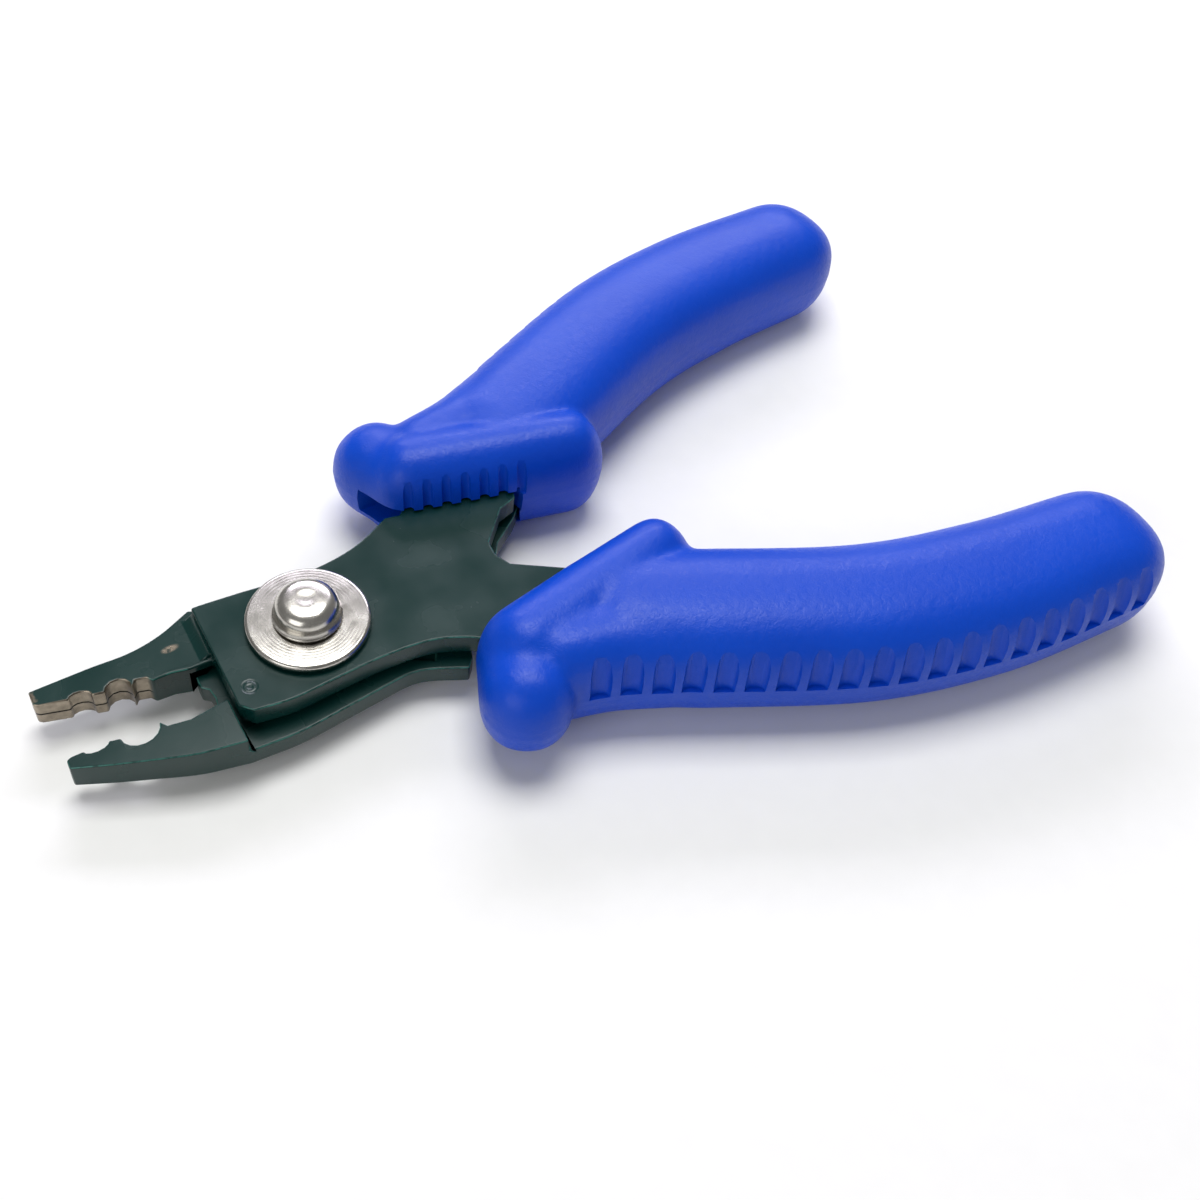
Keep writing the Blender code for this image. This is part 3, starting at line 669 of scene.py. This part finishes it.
# openings in the far grip; the near grip's lies at the upper plate's height
mouths = {
    "earRoom": [(9.0, 7.0), (9.0, 14.3), (25.5, 14.3), (28.1, 8.3), (28.75, 5.6), (25.0, 3.5)],
    "arm": [(12.0, 2.0), (12.9, 8.8), (17.0, 11.1), (34.7, 20.6), (50.5, 27.5), (53.2, 21.2),
            (37.5, 14.2), (31.8, 10.4), (29.1, 7.0), (27.5, 5.3), (24.0, 2.6)],
    "earHeights": (4.7, 8.2), "farArmHeights": (2.0, 4.9), "nearArmHeights": (5.1, 8.2),
}


def flatPrism(name, outline, heights):
    # a face from a few corners, extruded upwards
    bm = bmesh.new()
    low, high = heights
    corners = [bm.verts.new(toWorld(x, y, low)) for x, y in outline]
    raised = bmesh.ops.extrude_face_region(bm, geom=[bm.faces.new(corners)])["geom"]
    up = [g for g in raised if isinstance(g, bmesh.types.BMVert)]
    bmesh.ops.translate(bm, verts=up, vec=(0, 0, (high - low) * mm))
    bmesh.ops.recalc_face_normals(bm, faces=bm.faces)
    return meshObject(name, bm, bluePolypropylene)


def cutWith(piece, cutter):
    cut = piece.modifiers.new("cut", "BOOLEAN")
    cut.operation = "DIFFERENCE"
    cut.solver = "MANIFOLD"
    cut.object = cutter
    applyModifiers(piece)
    bpy.data.objects.remove(cutter)


def mirrored(piece, name):
    bm = bmesh.new()
    bm.from_mesh(piece.data)
    bmesh.ops.scale(bm, vec=(1, -1, 1), verts=bm.verts)
    bmesh.ops.reverse_faces(bm, faces=bm.faces)
    return meshObject(name, bm, bluePolypropylene)


farGrip = partingLine(moulding("farGripMoulded"))
cutWith(farGrip, fluteCutters(skinOf(farGrip)))
nearGrip = mirrored(farGrip, "nearGripMoulded")
cutWith(farGrip, ribCutters(skinOf(farGrip)))
nearArm = [(x, -y) for x, y in mouths["arm"]]
cutWith(farGrip, flatPrism("earCutter", mouths["earRoom"], mouths["earHeights"]))
cutWith(farGrip, flatPrism("armCutter", mouths["arm"], mouths["farArmHeights"]))
cutWith(nearGrip, flatPrism("nearArmCutter", nearArm, mouths["nearArmHeights"]))
fitted = ((farGrip, "far_grip", "lower_body"), (nearGrip, "near_grip", "upper_body"))
for piece, node, body in fitted:
    piece.data.materials.clear()
    piece.data.materials.append(bluePolypropylene)
    piece.data.shade_smooth()
    piece.data.set_sharp_from_angle(angle=math.radians(38))
    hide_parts(node)
    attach(piece, body)
    print(piece.name, len(piece.data.polygons), "faces")


studio = {
    "floor": "#F4F4F2", "floorPale": "#F8F8F6", "fibreMm": 3.0, "floorSize": 1.6,
    "world": "#FFFFFF", "worldStrength": 0.22, "middle": (0.0, 0.0, 0.005),
    "lamps": [("overheadSoftbox", (0.05, 0.12, 0.55), (0.35, 0.25), 2.3, "#FFFFFF"),
              ("backStrip", (0.25, 0.45, 0.35), (0.5, 0.12), 1.8, "#F2EEFF"),
              ("leftFill", (-0.5, -0.25, 0.3), (0.4, 0.3), 0.9, "#FFFFFF")],
}


def makeFloor():
    bm = bmesh.new()
    bmesh.ops.create_grid(bm, x_segments=8, y_segments=8, size=studio["floorSize"])
    # matt seamless paper, very faintly mottled by its fibres
    material, tree, shader = newMaterial("paleSeamlessPaper")
    place = addNode(tree, "ShaderNodeTexCoord", {}).outputs["Object"]
    fibre = addNode(tree, "ShaderNodeTexNoise", {
        "Vector": place, "Scale": 1 / (studio["fibreMm"] * mm)}).outputs["Fac"]
    tone = addNode(tree, "ShaderNodeMix", {
        "data_type": "RGBA", "Factor": fibre, "A": hexColour(studio["floor"]),
        "B": hexColour(studio["floorPale"])})
    tree.links.new(tone.outputs["Result"], shader.inputs["Base Color"])
    shader.inputs["Roughness"].default_value = 0.9
    floor = meshObject("paleFloor", bm, material)


def addLamp(name, place, size, watts, colour):
    light = bpy.data.lights.new(name, "AREA")
    light.shape = "RECTANGLE"
    light.size, light.size_y = size
    light.energy = watts
    light.color = hexColour(colour)[:3]
    lamp = bpy.data.objects.new(name, light)
    lamp.location = place
    aim = Vector(studio["middle"]) - Vector(place)
    lamp.rotation_euler = aim.to_track_quat("-Z", "Y").to_euler()
    bpy.context.scene.collection.objects.link(lamp)


def makeStudio():
    makeFloor()
    world = bpy.data.worlds.new("softRoom")
    world.use_nodes = True
    background = world.node_tree.nodes["Background"]
    background.inputs["Color"].default_value = hexColour(studio["world"])
    background.inputs["Strength"].default_value = studio["worldStrength"]
    bpy.context.scene.world = world
    for lamp in studio["lamps"]:
        addLamp(*lamp)


# lens and stance measured on the tool: 49 degrees down, 26 degrees round towards the jaws
viewpoint = {"offset": (-30.05, -84.12, 124.17), "lens": 42.85, "shift": (0.1612, -0.0643),
             "right": (0.8978, -0.4404, 0.0), "up": (0.3306, 0.6739, 0.6608),
             "back": (-0.2910, -0.5933, 0.7506)}


def makeCamera():
    data = bpy.data.cameras.new("view")
    data.sensor_width = 36.0
    data.lens = viewpoint["lens"]
    data.shift_x, data.shift_y = viewpoint["shift"]
    data.clip_start = 0.005
    camera = bpy.data.objects.new("view", data)
    axes = [Vector(viewpoint[k]).normalized() for k in ("right", "up", "back")]
    camera.matrix_world = (Matrix.Translation(toWorld(*viewpoint["offset"]))
                           @ Matrix(axes).transposed().to_4x4())
    bpy.context.scene.collection.objects.link(camera)
    bpy.context.scene.camera = camera


makeStudio()
makeCamera()
bpy.context.scene.view_settings.view_transform = "Standard"
bpy.context.view_layer.update()
print("studio ready")
